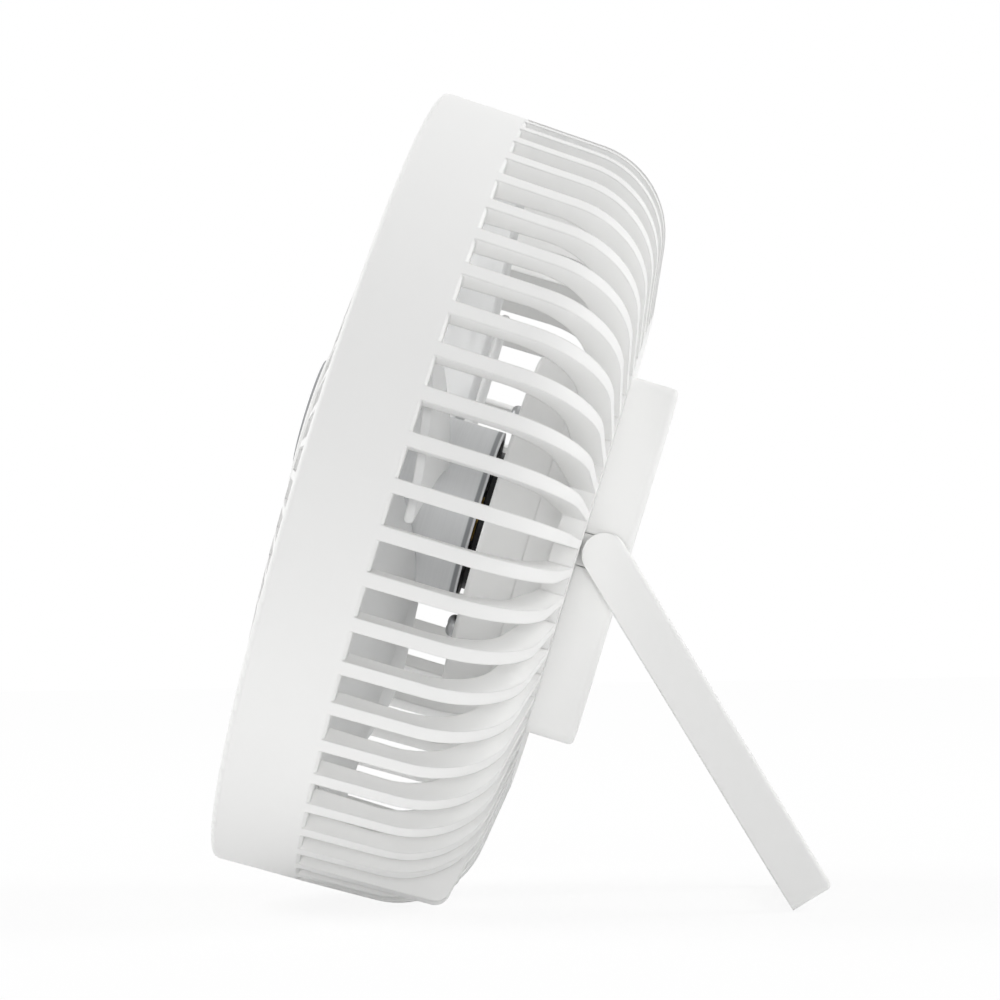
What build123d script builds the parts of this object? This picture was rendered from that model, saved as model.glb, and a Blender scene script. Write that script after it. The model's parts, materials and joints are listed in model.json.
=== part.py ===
from build123d import *
import math
import os

# A personal desk fan: a round drum that leans back on its lower ribs and on a swing stand.
# Every piece is modelled about the fan's own axis first: X runs across, Y up along the face and
# Z forward out of the face, with zero at the flat back of the cage. The last step leans the fan
# back, stands it on the floor and puts the origin under the middle of its box.
# All lengths are millimetres and all angles are degrees.

# Clearances that several pieces share
cut_overrun = 1.0
running_play = 0.03
pivot_play = 0.1
seat_play = 0.15
face_play = 0.05

# Rear cage: hoop, ribs and back plate
cage_depth = 47.8
hoop_width = 16.4
hoop_rear_radius = 72.4
hoop_flare = 0.5
hoop_wall = 2.2
hoop_edge_radius = 1.0
cage_taper = 1.2
back_drop = 3.5
shoulder_radius = 16.5
inner_shoulder_radius = 13.0
rib_count = 56
rib_angle = 2.07
rib_depth = 3.6
rib_back_depth = 6.7
window_bevel = 0.5
back_plate_radius = 45.0
back_plate_thickness = 4.5
ledge_depth = 2.0
ledge_thickness = 1.6
rib_pitch = 360.0 / rib_count
window_front = cage_depth - hoop_width
hoop_front_radius = hoop_rear_radius + hoop_flare
hoop_inner_radius = hoop_rear_radius - hoop_wall
cage_rear_radius = hoop_rear_radius - cage_taper
rib_inner_radius = hoop_rear_radius - rib_depth
bottom_angle = -90.0

# The two foot ribs keep a square corner where the others are rounded
foot_rib_steps = 3
foot_setback = 0.8
foot_corner_height = 4.9
foot_corner_radius = 2.8
foot_radius = hoop_rear_radius - foot_setback

# Rear housing's width and wall, which the boss and the pivots follow
housing_width = 62.0
housing_wall = 2.0
housing_half_width = housing_width / 2

# Motor boss on the cage, a cup that opens into the rear housing
boss_overhang = 1.0
boss_foot_width = 1.0
boss_step_height = 9.1
boss_wall = 3.0
boss_front = 17.4
boss_front_wall = 2.5
boss_edge_radius = 0.8
boss_radius = housing_half_width + boss_overhang
boss_foot_radius = boss_radius + boss_foot_width
boss_inner_radius = boss_radius - boss_wall
boss_floor = boss_front - boss_front_wall
lead_hole_radius = 1.8
lead_hole_distance = 9.0

# Front grille, a shallow dome of ribs round a solid hub
grille_recess = 0.3
grille_rim_thickness = 3.7
grille_rim_width = 4.8
grille_rib_depth = 3.0
grille_dome_rise = 4.4
grille_dome_bulge = 1.2
grille_hub_radius = 24.5
grille_ring_radius = 45.0
grille_ring_width = 2.4
grille_rib_width = 2.0
grille_inner_rib_share = 0.5
hook_count = 4
hook_angle = 5.0
hook_thickness = 1.6
hook_barb = 1.1
hook_reach = 1.7
grille_rim_radius = hoop_inner_radius - seat_play
grille_seat = cage_depth - grille_recess - grille_rim_thickness
grille_rim_front = cage_depth - grille_recess
grille_hub_front = grille_rim_front + grille_dome_rise
ledge_radius = hoop_inner_radius - ledge_depth
ledge_under = grille_seat - ledge_thickness

# Hub cap with its raised off-centre disc, and the bare domed badge on it
cap_border = 1.9
cap_seat_depth = 1.2
cap_thickness = 2.1
cap_edge_radius = 0.6
disc_radius = 14.9
disc_rise = 1.6
disc_edge_radius = 0.7
disc_offset = 7.2
badge_radius = 10.5
badge_offset = 9.3
badge_seat_depth = 0.7
badge_rise = 0.7
badge_crown = 0.4
cap_radius = grille_hub_radius - cap_border
cap_seat = grille_hub_front - cap_seat_depth
cap_front = cap_seat + cap_thickness
disc_front = cap_front + disc_rise
badge_seat = disc_front - badge_seat_depth

# Motor: an outer rotor can turning round a fixed stator on a bearing tube
can_radius = 16.5
can_wall = 1.2
can_front_wall = 1.5
can_length = 22.0
can_edge_radius = 1.5
can_gap = 2.2
collar_radius = 3.6
collar_length = 3.2
magnet_thickness = 2.0
magnet_length = 16.0
magnet_inset = 2.0
air_gap = 0.5
stack_height = 13.0
tooth_count = 9
tooth_width = 2.0
yoke_radius = 6.6
shoe_thickness = 1.3
slot_opening = 1.6
coil_build = 1.0
coil_inset = 0.4
shaft_radius = 1.5
shaft_tail = 1.1
shaft_nose = 1.5
tube_wall = 1.2
tube_tail = 2.2
bearing_width = 2.5
bearing_radius = 3.0
bearing_inset = 0.2
bearing_groove = 0.3
bearing_race = 0.45
clip_radius = 2.6
clip_thickness = 0.45
clip_groove_depth = 0.35
clip_mouth = 1.6
board_radius = 13.0
board_thickness = 1.9
can_rear = boss_front + can_gap
can_front = can_rear + can_length
can_inner_radius = can_radius - can_wall
magnet_radius = can_inner_radius - magnet_thickness
core_radius = magnet_radius - air_gap
magnet_rear = can_rear + magnet_inset
stack_rear = magnet_rear + (magnet_length - stack_height) / 2
stack_front = stack_rear + stack_height
tube_radius = bearing_radius + tube_wall
tube_rear = boss_floor - tube_tail
collar_rear = can_front - collar_length
tube_front = collar_rear - 2 * bearing_inset
shaft_rear = tube_rear - shaft_tail
clip_rear = tube_rear - clip_thickness

# Impeller pressed over the front of the can
nose_thickness = 2.8
nose_edge_radius = 2.4
skirt_wall = 1.8
skirt_length = 5.5
blade_count = 5
blade_tip_clearance = 6.6
blade_thickness = 1.6
blade_middle = 31.25
blade_rake = 2.4
blade_root_chord = 20.0
blade_tip_chord = 44.0
blade_root_pitch = 22.0
blade_tip_pitch = 13.5
blade_sweep = -34.0
blade_sweep_power = 0.7
blade_camber_share = 0.061
blade_station_shares = (0.0, 0.35, 0.7, 1.0)
blade_first_angle = 47.0
blade_root_sink = 0.9
root_pad_angle = 24.0
root_pad_reach = 0.5
blade_tip_radius = rib_inner_radius - blade_tip_clearance
skirt_radius = can_radius + skirt_wall
nose_front = can_front + nose_thickness

# Rear housing, a flat-sided box on the back plate
housing_height = 65.0
housing_depth = 8.7
housing_corner_radius = 2.0
housing_edge_radius = 1.0
housing_floor = housing_wall - housing_depth

# Screws that hold the housing to the cage through the boss
mount_screw_spacing = 40.0
mount_post_radius = 3.2
mount_shank_radius = 1.45
mount_shank_length = 12.0
mount_head_radius = 2.1
mount_head_height = 2.4
thread_play = 0.02
screw_cross_width = 0.7
screw_cross_share = 0.65

# Charging socket, which the lower mount post clears and the housing's lower end takes in
socket_width = 8.94
socket_height = 3.26
socket_length = 7.3
socket_shell = 0.35
socket_recess = 0.4
socket_tongue = 0.7
socket_slot_play = 0.12
socket_post_gap = 2.8
socket_end = -mount_screw_spacing / 2 - mount_post_radius - socket_post_gap
housing_low = socket_end - socket_length - socket_recess
housing_rise = housing_low + housing_height / 2

# Stand, a U-shaped strip with two pivot stubs
pivot_rise = -0.3
pivot_depth = 4.5
stand_length = 69.5
stand_width = 8.0
stand_thickness = 3.5
stand_gap = 0.5
stand_edge_limit = 0.9
stand_opening_angle = 48.1
lean_limit = 45.0
lean_steps = 40
stub_radius = 2.9
notch_radius = stub_radius + pivot_play
tongue_share = 0.6
ring_width = 0.8
ring_thickness = 1.0
washer_overlap = 0.4
washer_thickness = 0.8
pivot_shank_radius = 1.0
pivot_shank_length = 5.0
pivot_head_radius = 1.9
pivot_head_height = 1.3
stand_edge_radius = min(stand_edge_limit, stand_thickness / 3)
arm_inner = housing_half_width + stand_gap
arm_outer = arm_inner + stand_thickness
wall_inner = housing_half_width - housing_wall
stub_end = wall_inner - ring_thickness - face_play
washer_inner = stub_end - washer_thickness
pivot_head_end = washer_inner - pivot_head_height
washer_radius = notch_radius + washer_overlap
pocket_radius = notch_radius + ring_width + pivot_play

# Battery and its foam pad
battery_thickness = 10.0
battery_corner_radius = 2.0
battery_clearance = 1.3
pad_thickness = 1.0
battery_height = mount_screw_spacing - 2 * (mount_post_radius + battery_clearance)
battery_reach = boss_inner_radius - battery_clearance
battery_round_half = math.sqrt(battery_reach**2 - (battery_height / 2) ** 2)
battery_half_length = min(battery_round_half, pivot_head_end - battery_clearance)
battery_rear = housing_floor + pad_thickness

# Main circuit board with the charging socket, switch and indicator
main_board_thickness = 1.6
main_board_clearance = 0.6
main_board_corner_radius = 1.0
board_post_radius = 2.2
board_shank_radius = 0.9
board_shank_length = 4.0
board_head_radius = 1.8
board_head_height = 1.1
board_screw_inset = 4.5
control_gap = 1.9
switch_size = 4.5
switch_height = 1.6
plunger_radius = 1.0
plunger_height = 0.5
board_rear = housing_floor + socket_height + face_play + main_board_clearance / 2
board_front = board_rear + main_board_thickness
board_low = housing_low + housing_wall + main_board_clearance
board_high = -battery_height / 2 - main_board_clearance
board_half_width = wall_inner - main_board_clearance
control_height = (board_low + board_high) / 2
board_post_inner = board_half_width - board_screw_inset - board_post_radius

# Power button and indicator window in the housing's rear wall
button_radius = 4.0
button_travel = 0.5
button_recess = 0.1
button_flange_width = 0.8
button_flange_thickness = 0.6
button_stem_radius = 1.6
button_edge_radius = 0.4
button_play = 0.2
window_length = 10.0
window_width = 2.0
window_flange = 0.8
window_flange_thickness = 0.8
control_spread = board_post_inner - control_gap - window_flange - window_length / 2
plunger_tip = board_rear - switch_height - plunger_height
button_stem_tip = plunger_tip - button_travel - 2 * face_play


def rod(radius, low, high, x=0, y=0):
    """A round bar along the fan's axis."""
    return Pos(x, y, (low + high) / 2) * Cylinder(radius, high - low)


def cross_rod(radius, near, far, y, z):
    """A round bar along X."""
    return Pos((near + far) / 2, y, z) * Rot(0, 90, 0) * Cylinder(radius, far - near)


def slab(x_low, x_high, y_low, y_high, z_low, z_high):
    """A box between two corners."""
    middle = Pos((x_low + x_high) / 2, (y_low + y_high) / 2, (z_low + z_high) / 2)
    return middle * Box(x_high - x_low, y_high - y_low, z_high - z_low)


def outline(corners):
    """A face in the axis plane from (radius, height, corner radius) corners."""
    points = [(radius, height) for radius, height, rounding in corners]
    roundings = [rounding for radius, height, rounding in corners]
    return Plane.XZ * make_face(FilletPolyline(*points, radius=roundings, close=True))


def turned(corners):
    """A full turn of an outline about the fan's axis."""
    return revolve(outline(corners), Axis.Z)


def sector(corners, middle_angle, width_angle):
    """Part of a turn of an outline, centred on an angle from +X towards +Y."""
    return Rot(0, 0, middle_angle - width_angle / 2) * revolve(outline(corners), Axis.Z, width_angle)


def screw(head_radius, head_height, shank_radius, shank_length):
    """A pan-head screw pointing down, with the underside of its head at zero."""
    body = turned(
        [
            (0, -shank_length, 0),
            (shank_radius, -shank_length, shank_radius / 2),
            (shank_radius, 0, 0),
            (head_radius, 0, 0),
            (head_radius, head_height, head_height / 2),
            (0, head_height, 0),
        ]
    )
    arm = head_radius * screw_cross_share
    floor = head_height / 2
    for turn in (0, 90):
        groove = slab(-arm, arm, -screw_cross_width / 2, screw_cross_width / 2, floor, 2 * head_height)
        body -= Rot(0, 0, turn) * groove
    return body


def corner_centre(before, corner, after, rounding):
    """The centre of the arc that rounds a corner of an outline."""
    first = (Vector(*before) - Vector(*corner)).normalized()
    second = (Vector(*after) - Vector(*corner)).normalized()
    bisector = (first + second).normalized()
    half_angle = first.get_angle(bisector)
    return Vector(*corner) + bisector * (rounding / math.sin(math.radians(half_angle)))


def make_rear_cage():
    """Hoop, ribs, foot ribs, back plate and motor boss in one moulding."""
    ramp_height = hoop_inner_radius - rib_inner_radius
    shell = turned(
        [
            (tube_radius, boss_floor, 0),
            (tube_radius, boss_front, 0),
            (boss_radius, boss_front, boss_edge_radius),
            (boss_radius, boss_step_height, 0),
            (boss_foot_radius, boss_step_height, 0),
            (boss_foot_radius, back_plate_thickness, 0),
            (back_plate_radius, back_plate_thickness, 0),
            (rib_inner_radius, back_drop + rib_back_depth, inner_shoulder_radius),
            (rib_inner_radius, window_front, 0),
            (hoop_inner_radius, window_front + ramp_height, 0),
            (hoop_inner_radius, ledge_under, 0),
            (ledge_radius, ledge_under, 0),
            (ledge_radius, grille_seat, 0),
            (hoop_inner_radius, grille_seat, 0),
            (hoop_inner_radius, cage_depth, 0),
            (hoop_front_radius, cage_depth, hoop_edge_radius),
            (hoop_rear_radius, window_front, 0),
            (cage_rear_radius, back_drop, shoulder_radius),
            (back_plate_radius, 0, 0),
            (boss_inner_radius, 0, 0),
            (boss_inner_radius, boss_floor, 0),
        ]
    )
    foot_corners = [
        (hoop_rear_radius, window_front - hoop_wall, 0),
        (foot_radius, foot_corner_height, foot_corner_radius),
        (back_plate_radius, 0, 0),
        (back_plate_radius, back_plate_thickness, 0),
        (rib_inner_radius, back_drop + rib_back_depth, inner_shoulder_radius),
        (rib_inner_radius, window_front - hoop_wall, 0),
    ]
    for side in (-1, 1):
        shell += sector(foot_corners, bottom_angle + side * foot_rib_steps * rib_pitch, rib_pitch / 2)
    bevel_foot = hoop_rear_radius - window_bevel
    reach = hoop_front_radius + cut_overrun
    window_corners = [
        (back_plate_radius, -cut_overrun, 0),
        (reach, -cut_overrun, 0),
        (reach, window_front + reach - bevel_foot, 0),
        (bevel_foot, window_front, 0),
        (back_plate_radius, window_front, 0),
    ]
    window = sector(window_corners, bottom_angle, rib_pitch - rib_angle)
    shell -= [Rot(0, 0, (step + 1 / 2) * rib_pitch) * window for step in range(rib_count)]
    for side in (-1, 1):
        screw_y = side * mount_screw_spacing / 2
        shank_hole = mount_shank_radius + seat_play
        shell -= rod(shank_hole, boss_floor - cut_overrun, boss_front + cut_overrun, 0, screw_y)
        tongue_tip = notch_radius * tongue_share - pivot_depth
        tongue_half = notch_radius - pivot_play
        near = side * wall_inner
        far = side * housing_half_width
        tongue = slab(
            min(near, far),
            max(near, far),
            pivot_rise - tongue_half,
            pivot_rise + tongue_half,
            tongue_tip,
            back_plate_thickness / 2,
        )
        shell += tongue - cross_rod(notch_radius, -arm_inner, arm_inner, pivot_rise, -pivot_depth)
    return shell - rod(
        lead_hole_radius, boss_floor - cut_overrun, boss_front + cut_overrun, 0, -lead_hole_distance
    )


def dome_face(inner_radius, outer_radius):
    """Section of the grille's dome between two radii, as deep as its ribs."""
    inner_front = Vector(inner_radius, grille_hub_front)
    outer_front = Vector(outer_radius, grille_rim_front)
    drop = Vector(0, grille_rib_depth)
    middle = (inner_front + outer_front) / 2 + Vector(0, grille_dome_bulge)
    front = ThreePointArc(inner_front, middle, outer_front)
    down = Line(outer_front, outer_front - drop)
    back = ThreePointArc(outer_front - drop, middle - drop, inner_front - drop)
    up = Line(inner_front - drop, inner_front)
    return Plane.XZ * make_face([front, down, back, up])


def make_front_grille():
    """Domed grille with a rim that sits on the hoop's ledge and four snap hooks."""
    rim_inner = grille_rim_radius - grille_rim_width
    grille = revolve(dome_face(grille_hub_radius, rim_inner), Axis.Z)
    ring_inner = grille_ring_radius - grille_ring_width / 2
    ring_outer = grille_ring_radius + grille_ring_width / 2
    inner_count = round(rib_count * grille_inner_rib_share)
    inner_field = (grille_hub_radius, ring_inner, inner_count)
    outer_field = (ring_outer, rim_inner, rib_count)
    for low, high, count in (inner_field, outer_field):
        low_z = grille_seat - grille_rim_thickness
        high_z = grille_hub_front + grille_rim_thickness
        corners = [(low, low_z, 0), (high, low_z, 0), (high, high_z, 0), (low, high_z, 0)]
        pitch = 360.0 / count
        rib = math.degrees(grille_rib_width / high)
        window = sector(corners, bottom_angle, pitch - rib)
        grille -= [Rot(0, 0, step * pitch) * window for step in range(count)]
    rim_edge = min(hoop_edge_radius, grille_rim_width / 4)
    grille += turned(
        [
            (rim_inner, grille_seat, 0),
            (grille_rim_radius, grille_seat, 0),
            (grille_rim_radius, grille_rim_front, rim_edge),
            (rim_inner, grille_rim_front, 0),
        ]
    )
    hub_rear = grille_hub_front - grille_rib_depth
    seat_radius = cap_radius + seat_play
    grille += turned(
        [
            (0, hub_rear, 0),
            (grille_hub_radius, hub_rear, 0),
            (grille_hub_radius, grille_hub_front, 0),
            (seat_radius, grille_hub_front, 0),
            (seat_radius, cap_seat, 0),
            (0, cap_seat, 0),
        ]
    )
    hook_outer = ledge_radius - seat_play
    hook_inner = hook_outer - hook_thickness
    barb_top = ledge_under - seat_play
    hook_corners = [
        (hook_inner, grille_seat + grille_rim_thickness / 2, 0),
        (hook_inner, barb_top - hook_reach, 0),
        (hook_outer, barb_top - hook_reach, 0),
        (hook_outer + hook_barb, barb_top, 0),
        (hook_outer, barb_top, 0),
        (hook_outer, grille_seat + grille_rim_thickness / 2, 0),
    ]
    for step in range(hook_count):
        grille += sector(hook_corners, step * 360.0 / hook_count, hook_angle)
    return grille


def make_hub_cap():
    """White cap in the grille's hub, with a raised disc set above its centre."""
    cap = turned(
        [
            (0, cap_seat, 0),
            (cap_radius, cap_seat, 0),
            (cap_radius, cap_front, cap_edge_radius),
            (0, cap_front, 0),
        ]
    )
    disc = turned(
        [
            (0, cap_seat, 0),
            (disc_radius, cap_seat, 0),
            (disc_radius, disc_front, disc_edge_radius),
            (0, disc_front, 0),
        ]
    )
    cap += Pos(0, disc_offset, 0) * disc
    return cap - rod(badge_radius + face_play, badge_seat, disc_front + cut_overrun, 0, badge_offset)


def make_badge_disc():
    """Bare grey domed disc let into the hub cap."""
    crown = disc_front + badge_rise + badge_crown
    dome_radius = (badge_radius**2 + badge_crown**2) / (2 * badge_crown)
    dome = Pos(0, badge_offset, crown - dome_radius) * Sphere(dome_radius)
    return rod(badge_radius, badge_seat, crown, 0, badge_offset) & dome


def make_rotor_can():
    """Steel cup of the motor, open to the rear, with a collar on the shaft."""
    front_inner = can_front - can_front_wall
    return turned(
        [
            (shaft_radius, collar_rear, 0),
            (collar_radius, collar_rear, 0),
            (collar_radius, front_inner, 0),
            (can_inner_radius, front_inner, 0),
            (can_inner_radius, can_rear, 0),
            (can_radius, can_rear, 0),
            (can_radius, can_front, min(can_edge_radius, can_front_wall)),
            (shaft_radius, can_front, 0),
        ]
    )


def make_ring_magnet():
    """Magnet ring inside the can."""
    magnet_front = magnet_rear + magnet_length
    return rod(can_inner_radius, magnet_rear, magnet_front) - rod(
        magnet_radius, magnet_rear - cut_overrun, magnet_front + cut_overrun
    )


def tooth_turns():
    """One turn about the axis for each stator tooth."""
    return [Rot(0, 0, step * 360.0 / tooth_count) for step in range(tooth_count)]


def make_stator_core():
    """Laminated star with one shoe per tooth, on the bearing tube."""
    shoe_inner = core_radius - shoe_thickness
    tooth_length = core_radius - shoe_thickness / 2
    star = Circle(yoke_radius) + (Circle(core_radius) - Circle(shoe_inner))
    tooth = Pos(tooth_length / 2, 0) * Rectangle(tooth_length, tooth_width)
    star += [turn * tooth for turn in tooth_turns()]
    gap_turn = Rot(0, 0, 180.0 / tooth_count)
    gap = Pos(core_radius, 0) * Rectangle(2 * shoe_thickness + cut_overrun, slot_opening)
    star -= [turn * gap_turn * gap for turn in tooth_turns()]
    star -= Circle(tube_radius)
    return extrude(Pos(0, 0, stack_rear) * star, stack_height)


def make_stator_coils():
    """One winding round each tooth."""
    inner = yoke_radius + coil_inset
    outer = core_radius - shoe_thickness - coil_inset
    half = tooth_width / 2 + coil_build
    winding = slab(inner, outer, -half, half, stack_rear - coil_build, stack_front + coil_build)
    winding = fillet(winding.edges().filter_by(Axis.X), coil_build / 2)
    winding -= slab(
        inner - cut_overrun, outer + cut_overrun, -tooth_width / 2, tooth_width / 2, stack_rear, stack_front
    )
    return Compound([(turn * winding).solid() for turn in tooth_turns()])


def make_bearing_tube():
    """Brass tube that stands in the boss and carries bearings and stator."""
    return rod(tube_radius, tube_rear, tube_front) - rod(
        bearing_radius, tube_rear - cut_overrun, tube_front + cut_overrun
    )


def make_ball_bearings():
    """Two small shielded bearings, one at each end of the tube."""
    bore = shaft_radius + running_play
    groove_inner = bore + bearing_race
    groove_outer = bearing_radius - bearing_race
    bearing = turned(
        [
            (bore, 0, 0),
            (groove_inner, 0, 0),
            (groove_inner, bearing_groove, 0),
            (groove_outer, bearing_groove, 0),
            (groove_outer, 0, 0),
            (bearing_radius, 0, 0),
            (bearing_radius, bearing_width, 0),
            (groove_outer, bearing_width, 0),
            (groove_outer, bearing_width - bearing_groove, 0),
            (groove_inner, bearing_width - bearing_groove, 0),
            (groove_inner, bearing_width, 0),
            (bore, bearing_width, 0),
        ]
    )
    rear = Pos(0, 0, tube_rear + bearing_inset) * bearing
    front = Pos(0, 0, tube_front - bearing_inset - bearing_width) * bearing
    return Compound([rear.solid(), front.solid()])


def make_motor_shaft():
    """Steel shaft with a groove for its clip."""
    shaft = rod(shaft_radius, shaft_rear, can_front + shaft_nose)
    groove = rod(clip_radius, clip_rear - face_play, clip_rear + clip_thickness + face_play)
    groove -= rod(shaft_radius - clip_groove_depth, shaft_rear, can_front)
    return shaft - groove


def make_shaft_clip():
    """Spring clip that keeps the shaft in its bearings."""
    bore = shaft_radius - clip_groove_depth
    clip = rod(clip_radius, clip_rear, clip_rear + clip_thickness)
    clip -= rod(bore, clip_rear - cut_overrun, clip_rear + clip_thickness + cut_overrun)
    return clip - slab(
        0,
        clip_radius + cut_overrun,
        -clip_mouth / 2,
        clip_mouth / 2,
        clip_rear - cut_overrun,
        clip_rear + clip_thickness + cut_overrun,
    )


def make_motor_board():
    """Black circuit board of the motor, flat on the boss."""
    board = rod(board_radius, boss_front, boss_front + board_thickness)
    return board - rod(tube_radius, boss_front - cut_overrun, boss_front + board_thickness + cut_overrun)


def blade_section(share):
    """Cambered section of a blade at a share of the way from root to tip."""
    root = skirt_radius - blade_root_sink
    radius = root + share * (blade_tip_radius - root)
    chord = blade_root_chord + share * (blade_tip_chord - blade_root_chord)
    pitch = blade_root_pitch + share * (blade_tip_pitch - blade_root_pitch)
    height = blade_middle + share * blade_rake
    plane = Plane(origin=(radius, 0, height), x_dir=(0, 1, 0), z_dir=(1, 0, 0))
    camber = ThreePointArc((-chord / 2, 0), (0, -chord * blade_camber_share), (chord / 2, 0))
    section = plane * Rot(0, 0, pitch) * SlotArc(camber, blade_thickness)
    return Rot(0, 0, share**blade_sweep_power * blade_sweep) * section


def make_impeller():
    """Moulded impeller: hub cup and its blades, each on a pad that reaches back along the can."""
    skirt_rear = can_front - skirt_length
    pad_rear = blade_middle - root_pad_reach
    hub = turned(
        [
            (0, can_front + shaft_nose, 0),
            (shaft_radius, can_front + shaft_nose, 0),
            (shaft_radius, can_front, 0),
            (can_radius, can_front, 0),
            (can_radius, pad_rear, 0),
            (skirt_radius, pad_rear, 0),
            (skirt_radius, nose_front, min(nose_edge_radius, nose_thickness)),
            (0, nose_front, 0),
        ]
    )
    blade = loft([blade_section(share) for share in blade_station_shares])
    blade &= rod(blade_tip_radius, can_rear, nose_front)
    gap_corners = [
        (can_radius - cut_overrun, pad_rear - cut_overrun, 0),
        (skirt_radius + cut_overrun, pad_rear - cut_overrun, 0),
        (skirt_radius + cut_overrun, skirt_rear, 0),
        (can_radius - cut_overrun, skirt_rear, 0),
    ]
    blade_pitch = 360.0 / blade_count
    for step in range(blade_count):
        turn = blade_first_angle + step * blade_pitch
        hub -= sector(gap_corners, turn + blade_pitch / 2, blade_pitch - root_pad_angle)
    for step in range(blade_count):
        hub += Rot(0, 0, blade_first_angle + step * blade_pitch) * blade
    return hub


def make_rear_housing():
    """Box on the cage's back, with posts, pivot notches and openings for the controls."""
    plan = Pos(0, housing_rise) * RectangleRounded(housing_width, housing_height, housing_corner_radius)
    box = extrude(plan, -housing_depth)
    rear_edges = box.faces().sort_by(Axis.Z)[0].edges()
    box = fillet(rear_edges, min(housing_edge_radius, housing_wall / 2))
    inside = Rectangle(housing_width - 2 * housing_wall, housing_height - 2 * housing_wall)
    box -= extrude(Pos(0, housing_rise, housing_floor) * inside, housing_depth)
    for side in (-1, 1):
        screw_y = side * mount_screw_spacing / 2
        post = rod(mount_post_radius, housing_floor - housing_wall / 2, boss_floor, 0, screw_y)
        pilot = mount_shank_radius + thread_play
        pilot_end = boss_front - mount_shank_length - cut_overrun
        box += post - rod(pilot, pilot_end, boss_floor + cut_overrun, 0, screw_y)
        post_x = side * (board_half_width - board_screw_inset)
        post_low = housing_floor - housing_wall / 2
        board_post = rod(board_post_radius, post_low, board_rear, post_x, control_height)
        pilot = board_shank_radius + thread_play
        pilot_end = board_front - board_shank_length - face_play
        box += board_post - rod(pilot, pilot_end, board_rear + cut_overrun, post_x, control_height)
    for side in (-1, 1):
        pocket_end = side * (pivot_head_end - battery_clearance)
        near = min(side * wall_inner, pocket_end)
        far = max(side * wall_inner, pocket_end)
        box -= cross_rod(pocket_radius, near, far, pivot_rise, -pivot_depth)
        near = min(side * arm_inner, pocket_end)
        far = max(side * arm_inner, pocket_end)
        box -= cross_rod(notch_radius, near, far, pivot_rise, -pivot_depth)
        box -= slab(
            min(side * arm_inner, side * stub_end),
            max(side * arm_inner, side * stub_end),
            pivot_rise - notch_radius,
            pivot_rise + notch_radius,
            -pivot_depth,
            cut_overrun,
        )
    rear_face = -housing_depth - cut_overrun
    button_hole = button_radius + button_play
    box -= rod(button_hole, rear_face, housing_floor + cut_overrun, control_spread, control_height)
    box -= extrude(
        Pos(-control_spread, control_height, rear_face)
        * SlotOverall(window_length + 2 * face_play, window_width + 2 * face_play),
        housing_wall + 2 * cut_overrun,
    )
    slot_low = (0, housing_low - cut_overrun, socket_centre())
    slot_plane = Plane(origin=slot_low, x_dir=(1, 0, 0), z_dir=(0, 1, 0))
    return box - extrude(slot_plane * socket_shape(socket_slot_play), housing_wall + 2 * cut_overrun)


def socket_centre():
    """Height of the charging socket's axis, just behind the main board."""
    return board_rear - socket_height / 2


def socket_shape(growth):
    """Rounded outline of the charging socket, grown on all sides."""
    return SlotOverall(socket_width + 2 * growth, socket_height + 2 * growth)


def make_usb_socket():
    """Charging socket: a rounded steel shell with its contact tongue."""
    mouth = housing_low + socket_recess
    plane = Plane(origin=(0, mouth, socket_centre()), x_dir=(1, 0, 0), z_dir=(0, 1, 0))
    shell = extrude(plane * socket_shape(0), socket_length)
    hollow = extrude(plane * socket_shape(-socket_shell), socket_length - 2 * socket_shell)
    tongue_half = socket_width / 2 - socket_height / 2
    tongue = slab(
        -tongue_half,
        tongue_half,
        mouth + 2 * socket_shell,
        mouth + socket_length - socket_shell,
        socket_centre() - socket_tongue / 2,
        socket_centre() + socket_tongue / 2,
    )
    return shell - hollow + tongue


def make_main_board():
    """Main circuit board behind the battery, with a hole round the lower mount post."""
    plan = RectangleRounded(2 * board_half_width, board_high - board_low, main_board_corner_radius)
    board = extrude(Pos(0, control_height, board_rear) * plan, main_board_thickness)
    low = board_rear - cut_overrun
    high = board_front + cut_overrun
    board -= rod(mount_post_radius + main_board_clearance / 2, low, high, 0, -mount_screw_spacing / 2)
    for side in (-1, 1):
        post_x = side * (board_half_width - board_screw_inset)
        board -= rod(board_shank_radius + seat_play, low, high, post_x, control_height)
    return board


def make_board_screws():
    """Two small screws that hold the main board on its posts."""
    one = screw(board_head_radius, board_head_height, board_shank_radius, board_shank_length)
    spread = board_half_width - board_screw_inset
    return Compound([(Pos(side * spread, control_height, board_front) * one).solid() for side in (-1, 1)])


def make_tact_switch():
    """Switch under the power button, with its round plunger."""
    half = switch_size / 2
    low = board_rear - switch_height
    body = slab(
        control_spread - half,
        control_spread + half,
        control_height - half,
        control_height + half,
        low,
        board_rear,
    )
    return body + rod(plunger_radius, plunger_tip, low, control_spread, control_height)


def make_power_button():
    """Round push button held by a flange behind the housing's rear wall."""
    face = button_recess - housing_depth
    flange_low = housing_floor + 2 * face_play
    flange_high = flange_low + button_flange_thickness
    button = turned(
        [
            (0, face, 0),
            (button_radius, face, button_edge_radius),
            (button_radius, flange_low, 0),
            (button_radius + button_flange_width, flange_low, 0),
            (button_radius + button_flange_width, flange_high, 0),
            (button_stem_radius, flange_high, 0),
            (button_stem_radius, max(button_stem_tip, flange_high + face_play), 0),
            (0, max(button_stem_tip, flange_high + face_play), 0),
        ]
    )
    return Pos(control_spread, control_height, 0) * button


def make_indicator_window():
    """Clear light pipe for the charge lights, with a flange inside the wall."""
    place = Pos(-control_spread, control_height, -housing_depth)
    pipe = extrude(place * SlotOverall(window_length, window_width), housing_wall)
    flange = SlotOverall(window_length + 2 * window_flange, window_width + 2 * window_flange)
    seat = Pos(-control_spread, control_height, housing_floor)
    return pipe + extrude(seat * flange, window_flange_thickness)


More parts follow.
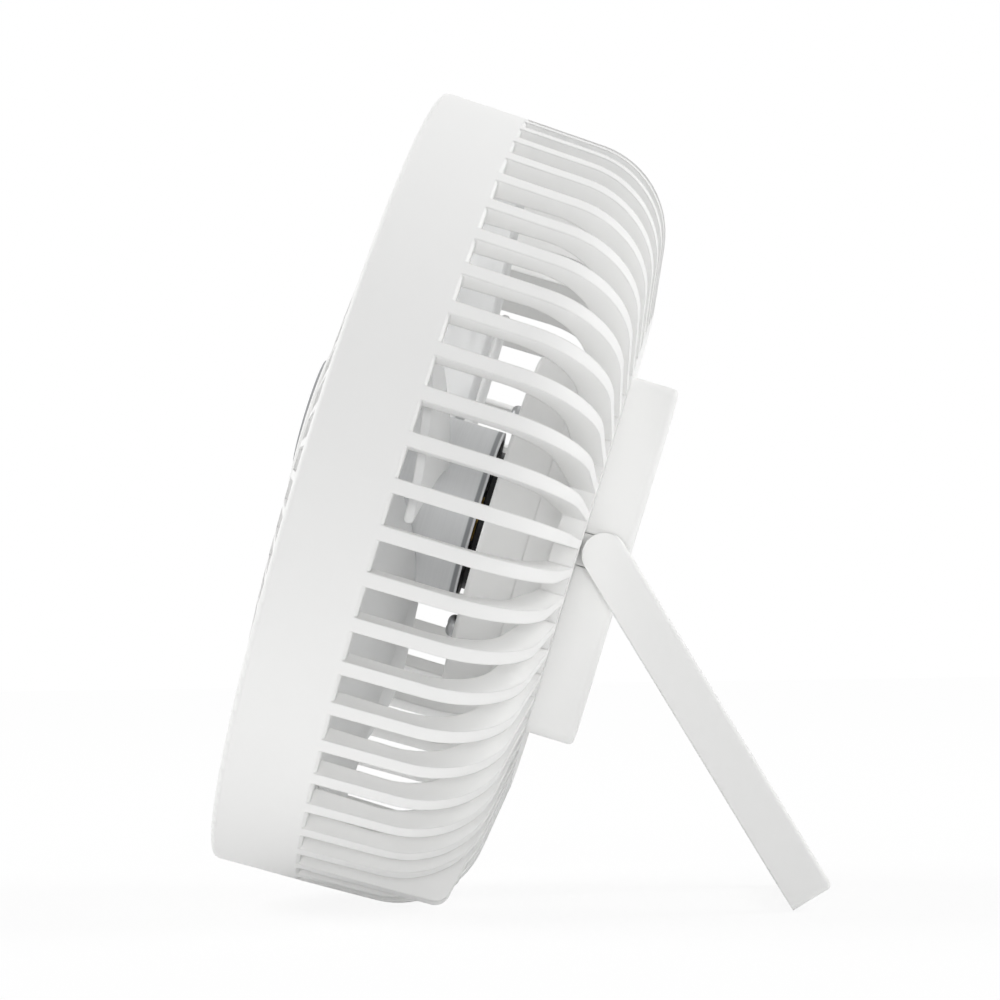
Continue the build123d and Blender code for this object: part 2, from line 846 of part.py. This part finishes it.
def make_battery_pad():
    """Foam pad between the housing's rear wall and the battery."""
    half = battery_height / 2
    return slab(-battery_half_length, battery_half_length, -half, half, housing_floor, battery_rear)


def make_battery_pack():
    """Flat lithium pack on its pad."""
    plan = RectangleRounded(2 * battery_half_length, battery_height, battery_corner_radius)
    return extrude(Pos(0, 0, battery_rear) * plan, battery_thickness)


def make_mount_screws():
    """Two pan-head screws through the boss into the housing's posts."""
    one = screw(mount_head_radius, mount_head_height, mount_shank_radius, mount_shank_length)
    spread = mount_screw_spacing / 2
    return Compound([(Pos(0, side * spread, boss_front) * one).solid() for side in (-1, 1)])


def opened(piece):
    """A piece of the stand, turned from flat along the back to its rest opening."""
    return Pos(0, pivot_rise, -pivot_depth) * Rot(stand_opening_angle, 0, 0) * piece


def make_stand():
    """U-shaped strip: two arms, a crossbar and the two pivot stubs."""
    half_width = stand_width / 2
    inner_low = stand_thickness - stand_length
    plan_points = [
        (-arm_outer, half_width),
        (-arm_outer, -stand_length),
        (arm_outer, -stand_length),
        (arm_outer, half_width),
        (arm_inner, half_width),
        (arm_inner, inner_low),
        (-arm_inner, inner_low),
        (-arm_inner, half_width),
    ]
    roundings = [0, stand_edge_radius, stand_edge_radius, 0, 0, stand_edge_radius, stand_edge_radius, 0]
    plan = make_face(FilletPolyline(*plan_points, radius=roundings, close=True))
    strip = extrude(plan, half_width, both=True)
    outer_faces = [strip.faces().sort_by(Axis.X)[0], strip.faces().sort_by(Axis.X)[-1]]
    rear_edges = [face.edges().sort_by(Axis.Z)[0] for face in outer_faces]
    strip = fillet(rear_edges, stand_edge_radius)
    for side in (-1, 1):
        end = slab(
            min(side * (arm_inner - cut_overrun), side * (arm_outer + cut_overrun)),
            max(side * (arm_inner - cut_overrun), side * (arm_outer + cut_overrun)),
            0,
            stand_width,
            -stand_width,
            stand_width,
        )
        strip -= end - cross_rod(half_width, -arm_outer - 2 * cut_overrun, arm_outer + 2 * cut_overrun, 0, 0)
    for side in (-1, 1):
        stub = cross_rod(
            stub_radius, min(side * stub_end, side * arm_inner), max(side * stub_end, side * arm_inner), 0, 0
        )
        pilot_end = side * (stub_end + pivot_shank_length)
        mouth = side * (stub_end - cut_overrun)
        pilot_radius = pivot_shank_radius + thread_play
        pilot = cross_rod(pilot_radius, min(mouth, pilot_end), max(mouth, pilot_end), 0, 0)
        strip += stub
        strip -= pilot
    return opened(strip)


def make_friction_rings():
    """Rubber rings that hold the stand where it is put."""
    rings = []
    for side in (-1, 1):
        near = min(side * wall_inner, side * (wall_inner - ring_thickness))
        far = max(side * wall_inner, side * (wall_inner - ring_thickness))
        ring = cross_rod(notch_radius + ring_width, near, far, pivot_rise, -pivot_depth)
        hole = cross_rod(notch_radius, near - cut_overrun, far + cut_overrun, pivot_rise, -pivot_depth)
        rings.append((ring - hole).solid())
    return Compound(rings)


def make_pivot_washers():
    """Steel washers on the ends of the pivot stubs."""
    washers = []
    for side in (-1, 1):
        near = min(side * stub_end, side * washer_inner)
        far = max(side * stub_end, side * washer_inner)
        washer = cross_rod(washer_radius, near, far, 0, 0)
        washer -= cross_rod(pivot_shank_radius + seat_play, near - cut_overrun, far + cut_overrun, 0, 0)
        washers.append(opened(washer).solid())
    return Compound(washers)


def make_pivot_screws():
    """Small screws that hold the washers on the stubs."""
    one = screw(pivot_head_radius, pivot_head_height, pivot_shank_radius, pivot_shank_length)
    screws = []
    for side in (-1, 1):
        screws.append(opened(Pos(side * washer_inner, 0, 0) * Rot(0, -side * 90, 0) * one).solid())
    return Compound(screws)


def lean_angle():
    """How far the fan leans back with its lowest ribs and the stand's crossbar on the floor."""
    rib = corner_centre(
        (hoop_rear_radius, window_front),
        (cage_rear_radius, back_drop),
        (back_plate_radius, 0),
        shoulder_radius,
    )
    foot = corner_centre(
        (hoop_rear_radius, window_front - hoop_wall),
        (foot_radius, foot_corner_height),
        (back_plate_radius, 0),
        foot_corner_radius,
    )
    foot_turn = math.radians(foot_rib_steps * rib_pitch - rib_angle / 2)
    arm = math.radians(stand_opening_angle)
    across = stand_width / 2
    end_y = pivot_rise - stand_length * math.cos(arm) - across * math.sin(arm)
    end_z = -pivot_depth - stand_length * math.sin(arm) + across * math.cos(arm)
    low = 0.0
    high = lean_limit
    for step in range(lean_steps):
        middle = (low + high) / 2
        forward = math.sin(math.radians(middle))
        upright = math.cos(math.radians(middle))
        down = upright * math.cos(foot_turn)
        rib_low = rib.Y * forward - rib.X * upright - shoulder_radius
        foot_low = foot.Y * forward - foot.X * down - foot_corner_radius * math.hypot(down, forward)
        if min(rib_low, foot_low) < end_y * upright + end_z * forward:
            low = middle
        else:
            high = middle
    return (low + high) / 2


makers = {
    "rear_cage": make_rear_cage,
    "front_grille": make_front_grille,
    "hub_cap": make_hub_cap,
    "badge_disc": make_badge_disc,
    "rear_housing": make_rear_housing,
    "mount_screws": make_mount_screws,
    "motor_board": make_motor_board,
    "bearing_tube": make_bearing_tube,
    "ball_bearings": make_ball_bearings,
    "stator_core": make_stator_core,
    "stator_coils": make_stator_coils,
    "rotor_can": make_rotor_can,
    "ring_magnet": make_ring_magnet,
    "motor_shaft": make_motor_shaft,
    "shaft_clip": make_shaft_clip,
    "impeller": make_impeller,
    "battery_pack": make_battery_pack,
    "battery_pad": make_battery_pad,
    "main_board": make_main_board,
    "board_screws": make_board_screws,
    "usb_socket": make_usb_socket,
    "tact_switch": make_tact_switch,
    "power_button": make_power_button,
    "indicator_window": make_indicator_window,
    "stand": make_stand,
    "friction_rings": make_friction_rings,
    "pivot_washers": make_pivot_washers,
    "pivot_screws": make_pivot_screws,
}
pieces = {name: maker() for name, maker in makers.items()}

# Lean the fan back, then put the origin on the floor under the middle of its box
lean = Rot(90 - lean_angle(), 0, 0)
outer_names = ("rear_cage", "hub_cap", "badge_disc", "stand")
boxes = [(lean * pieces[name]).bounding_box() for name in outer_names]
floor_z = min(box.min.Z for box in boxes)
middle_y = (min(box.min.Y for box in boxes) + max(box.max.Y for box in boxes)) / 2
place = Pos(0, -middle_y, -floor_z) * lean

os.makedirs("parts", exist_ok=True)
for name, piece in pieces.items():
    export_step(place * piece, f"parts/{name}.step")
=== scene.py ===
import json
import math

import bpy
from mathutils import Matrix, Quaternion, Vector

# A white rechargeable desk fan on its swing stand, seen from the side on a plain white floor.
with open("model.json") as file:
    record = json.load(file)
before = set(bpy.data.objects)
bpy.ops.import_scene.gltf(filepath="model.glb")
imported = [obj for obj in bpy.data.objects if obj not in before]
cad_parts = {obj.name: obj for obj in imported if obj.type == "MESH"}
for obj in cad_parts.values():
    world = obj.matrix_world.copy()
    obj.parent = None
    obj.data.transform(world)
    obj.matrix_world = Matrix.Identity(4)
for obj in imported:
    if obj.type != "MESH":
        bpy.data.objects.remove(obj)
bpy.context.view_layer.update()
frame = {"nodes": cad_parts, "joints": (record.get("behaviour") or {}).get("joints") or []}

MM = 0.001

# The fan's own frame: X across, Y up along the face, Z forward along the spin axis, zero at the
# flat back of the cage. The spin joint sits this far in front of that back.
SPIN_POINT = 31.25 * MM
spin = next(joint for joint in frame["joints"] if joint["name"] == "impeller_spin")
FORWARD = Vector(spin["axis"]).normalized()
BACK_CENTRE = Vector(spin["pos_m"]) - FORWARD * SPIN_POINT
LEAN = math.atan2(FORWARD.z, -FORWARD.y)

# Sizes of the patterns: flow clouds in plastic, the soft edge of a moulding and the length of
# turned lines
CLOUD_SIZE = 45 * MM
EDGE_RADIUS = 0.45 * MM
LINE_LENGTH = 30 * MM
# The usual range of a noise pattern and of a cell pattern
NOISE_RANGE = (0.3, 0.7)
CELL_RANGE = (0.0, 1.0)
# How strongly the dents of mould grain, turned lines and cells turn the light
GRAIN_STRENGTH, LINE_STRENGTH, CELL_STRENGTH = 0.35, 0.3, 0.4
# Mould grain scatters the light, so the plastics mirror less than a polished face would
PLASTIC_MIRROR = 0.3
# This middle part of a dark band has its full depth, and the rest fades out
BAND_CORE = 0.4

# Colour sockets of a mix node, which has several sockets of each name
MIX_FIRST, MIX_SECOND, MIX_RESULT = 6, 7, 2

WHITE = "#FFFFFF"
# The lamps face this point in the fan
FAN_MIDDLE = Vector((0, 0, 0.07))
# Strength of the surround as a light, and where it is seen
SURROUND_LIGHT = 0.29
SURROUND_SEEN = 1.0
# The floor lies a little below the feet. It glows less near the fan, where it keeps the shadow, and
# almost fully further out, in metres from the middle.
FLOOR_SIZE = 6.0
FLOOR_DROP = 0.2 * MM
SHADOW_INNER, SHADOW_OUTER = 0.06, 0.32
GLOW_INNER, GLOW_OUTER = 0.88, 0.985


def linear(colour):
    """An sRGB hex colour as linear values."""
    parts = [int(colour[place:place + 2], 16) / 255 for place in (1, 3, 5)]
    return [
        part / 12.92 if part <= 0.04045 else ((part + 0.055) / 1.055) ** 2.4 for part in parts
    ] + [1.0]


def add(owner, kind, values=None, links=None, **settings):
    """One node of a material or the world, with its settings, its plain inputs and its links."""
    node = owner.node_tree.nodes.new(kind)
    for name, value in settings.items():
        setattr(node, name, value)
    for name, value in (values or {}).items():
        node.inputs[name].default_value = value
    for name, socket in (links or {}).items():
        owner.node_tree.links.new(socket, node.inputs[name])
    return node


def blank(name):
    """A material with no nodes yet."""
    material = bpy.data.materials.new(name)
    material.use_nodes = True
    material.node_tree.nodes.clear()
    return material


def fan_coordinates(material):
    """Object coordinates turned into the fan's own frame, so that patterns follow its axis."""
    turn = math.pi / 2 - LEAN
    shift = Matrix.Rotation(-turn, 3, "X") @ -BACK_CENTRE
    place = add(material, "ShaderNodeTexCoord")
    return add(
        material,
        "ShaderNodeMapping",
        {"Location": shift, "Rotation": (-turn, 0, 0)},
        {"Vector": place.outputs["Object"]},
    ).outputs["Vector"]


def tint(material, pattern, light, dark):
    """A colour that goes from light to dark with a pattern."""
    return add(
        material,
        "ShaderNodeMix",
        {MIX_FIRST: linear(light), MIX_SECOND: linear(dark)},
        {"Factor": pattern},
        data_type="RGBA",
    ).outputs[MIX_RESULT]


def sheen(material, pattern, pattern_range, smoothest, roughest):
    """A roughness that rises with a pattern over the pattern's usual range."""
    low, high = pattern_range
    return add(
        material,
        "ShaderNodeMapRange",
        {"From Min": low, "From Max": high, "To Min": smoothest, "To Max": roughest},
        {"Value": pattern},
    ).outputs["Result"]


def relief(material, pattern, strength, depth_mm, links=None):
    """Small dents that follow a pattern."""
    return add(
        material,
        "ShaderNodeBump",
        {"Strength": strength, "Distance": depth_mm * MM},
        {"Height": pattern, **(links or {})},
    ).outputs["Normal"]


def finish_surface(material, colour, roughness, normal, values):
    """The shader and output that close a material."""
    shader = add(
        material,
        "ShaderNodeBsdfPrincipled",
        values,
        {"Normal": normal, "Base Color": colour, "Roughness": roughness},
    )
    add(material, "ShaderNodeOutputMaterial", None, {"Surface": shader.outputs["BSDF"]})
    return material


def moulded_plastic(name, light, dark, roughness, grain_mm, grain_depth_mm, ior):
    """Injection-moulded plastic: an even colour with faint flow clouds, edges that catch a thin
    soft line of light, and the fine sparked grain of the mould, which breaks the highlight into a
    soft satin. The grain is drawn coarser than the real one of about 0.1 mm, so that it shows."""
    material = blank(name)
    place = fan_coordinates(material)
    clouds = add(
        material, "ShaderNodeTexNoise", {"Scale": 1 / CLOUD_SIZE, "Detail": 3.0}, {"Vector": place}
    )
    grain = add(
        material,
        "ShaderNodeTexNoise",
        {"Scale": 1 / (grain_mm * MM), "Detail": 2.0, "Roughness": 0.6},
        {"Vector": place},
    ).outputs["Fac"]
    edges = add(material, "ShaderNodeBevel", {"Radius": EDGE_RADIUS}, samples=6).outputs["Normal"]
    return finish_surface(
        material,
        tint(material, clouds.outputs["Fac"], light, dark),
        sheen(material, grain, NOISE_RANGE, roughness - 0.04, roughness + 0.05),
        relief(material, grain, GRAIN_STRENGTH, grain_depth_mm, {"Normal": edges}),
        {"IOR": ior, "Specular IOR Level": PLASTIC_MIRROR},
    )


def painted_dark_band(material, place, colour, low_mm, high_mm, shade):
    """A colour darkened softly between two distances from the cage's back: a band of painted shade.
    """
    axis = add(material, "ShaderNodeSeparateXYZ", None, {"Vector": place})
    half = (high_mm - low_mm) / 2 * MM
    offset = add(
        material,
        "ShaderNodeMath",
        {1: (low_mm + high_mm) / 2 * MM},
        {0: axis.outputs["Z"]},
        operation="SUBTRACT",
    )
    away = add(
        material, "ShaderNodeMath", None, {0: offset.outputs["Value"]}, operation="ABSOLUTE"
    )
    depth = add(
        material,
        "ShaderNodeMapRange",
        {"From Min": BAND_CORE * half, "From Max": half, "To Min": 1.0, "To Max": 0.0},
        {"Value": away.outputs["Value"]},
        interpolation_type="SMOOTHSTEP",
    )
    return add(
        material,
        "ShaderNodeMix",
        {MIX_SECOND: linear(shade)},
        {"Factor": depth.outputs["Result"], MIX_FIRST: colour},
        data_type="RGBA",
        blend_type="MULTIPLY",
    ).outputs[MIX_RESULT]


def turned_metal(name, light, dark, roughness, line_mm, line_depth_mm, metallic=1.0, band=None):
    """Drawn or turned metal: fine lines run round the fan's axis, and the tone shifts a little from
    line to line, so that the highlight is drawn out along the axis. It can have a dark band."""
    material = blank(name)
    place = fan_coordinates(material)
    stretch = add(
        material,
        "ShaderNodeMapping",
        {"Scale": (1 / LINE_LENGTH, 1 / LINE_LENGTH, 1 / (line_mm * MM))},
        {"Vector": place},
    )
    lines = add(
        material,
        "ShaderNodeTexNoise",
        {"Scale": 1.0, "Detail": 3.0, "Roughness": 0.55},
        {"Vector": stretch.outputs["Vector"]},
    ).outputs["Fac"]
    colour = tint(material, lines, light, dark)
    if band is not None:
        colour = painted_dark_band(material, place, colour, *band)
    return finish_surface(
        material,
        colour,
        sheen(material, lines, NOISE_RANGE, roughness - 0.06, roughness + 0.08),
        relief(material, lines, LINE_STRENGTH, line_depth_mm),
        {"Metallic": metallic},
    )


def speckled(name, light, dark, roughness, cell_mm, depth_mm, values):
    """Sintered, foamed, rubber or foil stock: small cells that shift the tone and dent the face."""
    material = blank(name)
    place = fan_coordinates(material)
    cells = add(
        material, "ShaderNodeTexVoronoi", {"Scale": 1 / (cell_mm * MM)}, {"Vector": place}
    ).outputs["Distance"]
    return finish_surface(
        material,
        tint(material, cells, light, dark),
        sheen(material, cells, CELL_RANGE, roughness - 0.05, roughness + 0.05),
        relief(material, cells, CELL_STRENGTH, depth_mm),
        values,
    )


# White ABS, moulded in a lightly sparked mould: a clean neutral white with a soft satin highlight
white_abs = moulded_plastic(
    "white_abs_satin", "#F9F9F8", "#F6F6F5",
    roughness=0.58, grain_mm=0.45, grain_depth_mm=0.006, ior=1.53,
)
# The stand is the same white, moulded in a duller mould, so its highlight is wider
stand_abs = moulded_plastic(
    "white_abs_stand", "#F8F8F7", "#F5F5F4",
    roughness=0.62, grain_mm=0.50, grain_depth_mm=0.008, ior=1.53,
)
# Polypropylene impeller: a slightly cooler, waxy white with a broad sheen
impeller_pp = moulded_plastic(
    "white_polypropylene", "#F8F8F8", "#F5F6F6",
    roughness=0.50, grain_mm=0.60, grain_depth_mm=0.005, ior=1.49,
)
# Grey ABS badge with a fine satin lacquer: an even mid grey
badge_abs = moulded_plastic(
    "grey_abs_lacquered", "#ABADAF", "#A6A8AA",
    roughness=0.32, grain_mm=0.35, grain_depth_mm=0.003, ior=1.50,
)
# Opal acrylic light pipe: milky white and glossy
light_pipe = moulded_plastic(
    "opal_acrylic", "#E6EAEA", "#DFE4E4",
    roughness=0.16, grain_mm=0.80, grain_depth_mm=0.001, ior=1.49,
)
# Black solder mask on glass-fibre board: near black and half gloss, faintly uneven over the weave
black_mask = moulded_plastic(
    "black_solder_mask", "#17181A", "#101113",
    roughness=0.42, grain_mm=0.60, grain_depth_mm=0.006, ior=1.52,
)
# Green solder mask on glass-fibre board: deep green and half gloss, faintly uneven over the weave
green_mask = moulded_plastic(
    "green_solder_mask", "#1F5A38", "#17492D",
    roughness=0.38, grain_mm=0.60, grain_depth_mm=0.006, ior=1.52,
)
# Zinc-plated drawn steel of the rotor can: pale and dull, with fine lines round the axis, and a
# darker band just in front of its open edge that is a painted reflection of the black motor board
# behind it
can_steel = turned_metal(
    "zinc_plated_can",
    "#E6E7E8",
    "#DEDFE0",
    roughness=0.50,
    line_mm=0.25,
    line_depth_mm=0.002,
    metallic=0.25,
    band=(19.8, 21.0, "#A8A9AB"),
)
# Nickel-plated steel of screws, washers and socket: brighter, with fine turning lines
bright_steel = turned_metal(
    "nickel_plated_steel", "#BDBEBF", "#AEAFB1",
    roughness=0.34, line_mm=0.20, line_depth_mm=0.003,
)
# Turned brass of the bearing tube: a warm yellow metal with fine turning lines
tube_brass = turned_metal(
    "turned_brass", "#C9A75E", "#B8954C",
    roughness=0.30, line_mm=0.20, line_depth_mm=0.003,
)
# Enamelled copper wire of the coils: a warm red metal with close turns
coil_copper = turned_metal(
    "enamelled_copper", "#B8693D", "#9A5430",
    roughness=0.32, line_mm=0.30, line_depth_mm=0.060,
)
# Stacked silicon-steel sheets of the stator: dull grey, one line per sheet of 0.5 mm
core_steel = turned_metal(
    "silicon_steel_stack", "#8E9093", "#74767A",
    roughness=0.48, line_mm=0.50, line_depth_mm=0.020,
)
# Sintered ferrite of the ring magnet: charcoal and slightly rough
magnet_ferrite = speckled(
    "sintered_ferrite", "#3A3A3C", "#2C2C2E",
    roughness=0.62, cell_mm=0.6, depth_mm=0.010, values={"IOR": 1.6},
)
# Aluminium foil of the battery pouch: bright, softly dented
pouch_foil = speckled(
    "pouch_foil", "#C4C7CB", "#B2B6BB",
    roughness=0.36, cell_mm=4.0, depth_mm=0.060, values={"Metallic": 1.0},
)
# Closed-cell foam of the battery pad: dark grey, pitted by the cells along its cut face
pad_foam = speckled(
    "closed_cell_foam", "#3C3C3D", "#262627",
    roughness=0.90, cell_mm=0.5, depth_mm=0.120, values={"IOR": 1.45},
)
# Nitrile rubber of the friction rings: matt black
ring_rubber = speckled(
    "nitrile_rubber", "#1D1D1E", "#151516",
    roughness=0.70, cell_mm=0.4, depth_mm=0.020, values={"IOR": 1.52},
)

finishes = {
    "rear_cage": white_abs,
    "front_grille": white_abs,
    "hub_cap": white_abs,
    "rear_housing": white_abs,
    "power_button": white_abs,
    "stand": stand_abs,
    "impeller": impeller_pp,
    "badge_disc": badge_abs,
    "indicator_window": light_pipe,
    "motor_board": black_mask,
    "tact_switch": black_mask,
    "main_board": green_mask,
    "rotor_can": can_steel,
    "stator_core": core_steel,
    "stator_coils": coil_copper,
    "ring_magnet": magnet_ferrite,
    "bearing_tube": tube_brass,
    "ball_bearings": bright_steel,
    "motor_shaft": bright_steel,
    "shaft_clip": bright_steel,
    "mount_screws": bright_steel,
    "board_screws": bright_steel,
    "pivot_washers": bright_steel,
    "pivot_screws": bright_steel,
    "usb_socket": bright_steel,
    "battery_pack": pouch_foil,
    "battery_pad": pad_foam,
    "friction_rings": ring_rubber,
}
for node, material in finishes.items():
    mesh = frame["nodes"][node].data
    mesh.materials.clear()
    mesh.materials.append(material)


def place_camera():
    """Long lens at the fan's side, a little behind it and low, rolled as the photograph is."""
    data = bpy.data.cameras.new("side_camera")
    data.sensor_width = 36.0
    data.lens = 137.35
    data.clip_start = 0.01
    camera = bpy.data.objects.new("side_camera", data)
    forward = Vector((-0.99892, -0.03042, 0.03502))
    roll = Quaternion((0, 0, 1), math.radians(-0.882))
    camera.rotation_mode = "QUATERNION"
    camera.rotation_quaternion = forward.to_track_quat("-Z", "Y") @ roll
    camera.location = Vector((698.39, 18.90, 48.69)) * MM
    bpy.context.scene.collection.objects.link(camera)
    bpy.context.scene.camera = camera


def soft_lamp(name, width, height, watts, place):
    """A large soft box that faces the fan."""
    data = bpy.data.lights.new(name, "AREA")
    data.shape = "RECTANGLE"
    data.size = width
    data.size_y = height
    data.energy = watts
    lamp = bpy.data.objects.new(name, data)
    lamp.location = place
    lamp.rotation_euler = (FAN_MIDDLE - Vector(place)).to_track_quat("-Z", "Y").to_euler()
    bpy.context.scene.collection.objects.link(lamp)


def either(owner, first, second):
    """One where at least one of two kinds of ray is met, else zero."""
    return add(
        owner, "ShaderNodeMath", None, {0: first, 1: second}, operation="MAXIMUM"
    ).outputs["Value"]


def seen_rays(owner):
    """One for rays that show the background, directly, mirrored or through a clear piece."""
    rays = add(owner, "ShaderNodeLightPath").outputs
    mirrored = either(owner, rays["Is Glossy Ray"], rays["Is Transmission Ray"])
    return either(owner, rays["Is Camera Ray"], mirrored)


def light_studio():
    """White surround and four soft boxes: one beside the camera that reaches in between the ribs,
    one each to the front and the rear that draw the pale rims, and a weak one overhead."""
    soft_lamp("side_softbox", width=0.6, height=0.24, watts=2.3, place=(1.10, 0.03, 0.13))
    soft_lamp("front_softbox", width=0.8, height=0.8, watts=8.5, place=(-0.10, -1.0, 0.80))
    soft_lamp("rear_softbox", width=0.8, height=0.8, watts=7.2, place=(-0.04, 1.0, 0.75))
    soft_lamp("top_softbox", width=0.8, height=0.8, watts=1.5, place=(-0.20, 0.0, 1.2))
    world = bpy.data.worlds.new("white_surround")
    bpy.context.scene.world = world
    world.use_nodes = True
    world.node_tree.nodes.clear()
    strength = add(
        world,
        "ShaderNodeMapRange",
        {"To Min": SURROUND_LIGHT, "To Max": SURROUND_SEEN},
        {"Value": seen_rays(world)},
    )
    light = add(
        world,
        "ShaderNodeBackground",
        {"Color": linear(WHITE)},
        {"Strength": strength.outputs["Result"]},
    )
    add(world, "ShaderNodeOutputWorld", None, {"Surface": light.outputs["Background"]})


def lay_floor():
    """Plain white floor. Where it is seen it glows nearly as white as the surround, so that only a
    soft trace of the fan's shadow stays under it."""
    bpy.ops.object.select_all(action="DESELECT")
    bpy.ops.mesh.primitive_plane_add(size=FLOOR_SIZE, location=(0, 0, -FLOOR_DROP))
    floor = bpy.context.object
    floor.name = "studio_floor"
    bpy.ops.object.transform_apply(location=True)
    # Matt white floor paint: no highlight, just white with the shadow on it
    paint = blank("white_floor_paint")
    matt = add(paint, "ShaderNodeBsdfDiffuse", {"Color": linear(WHITE)})
    glow = add(paint, "ShaderNodeEmission", {"Color": linear(WHITE), "Strength": 1.0})
    place = add(paint, "ShaderNodeTexCoord")
    distance = add(
        paint, "ShaderNodeVectorMath", None, {0: place.outputs["Object"]}, operation="LENGTH"
    )
    glow_share = add(
        paint,
        "ShaderNodeMapRange",
        {
            "From Min": SHADOW_INNER,
            "From Max": SHADOW_OUTER,
            "To Min": GLOW_INNER,
            "To Max": GLOW_OUTER,
        },
        {"Value": distance.outputs["Value"]},
        interpolation_type="SMOOTHSTEP",
    )
    share = add(
        paint,
        "ShaderNodeMath",
        None,
        {0: seen_rays(paint), 1: glow_share.outputs["Result"]},
        operation="MULTIPLY",
    )
    blend = add(
        paint,
        "ShaderNodeMixShader",
        None,
        {0: share.outputs["Value"], 1: matt.outputs["BSDF"], 2: glow.outputs["Emission"]},
    )
    add(paint, "ShaderNodeOutputMaterial", None, {"Surface": blend.outputs["Shader"]})
    floor.data.materials.append(paint)


place_camera()
light_studio()
lay_floor()
bpy.context.scene.view_settings.view_transform = "Standard"
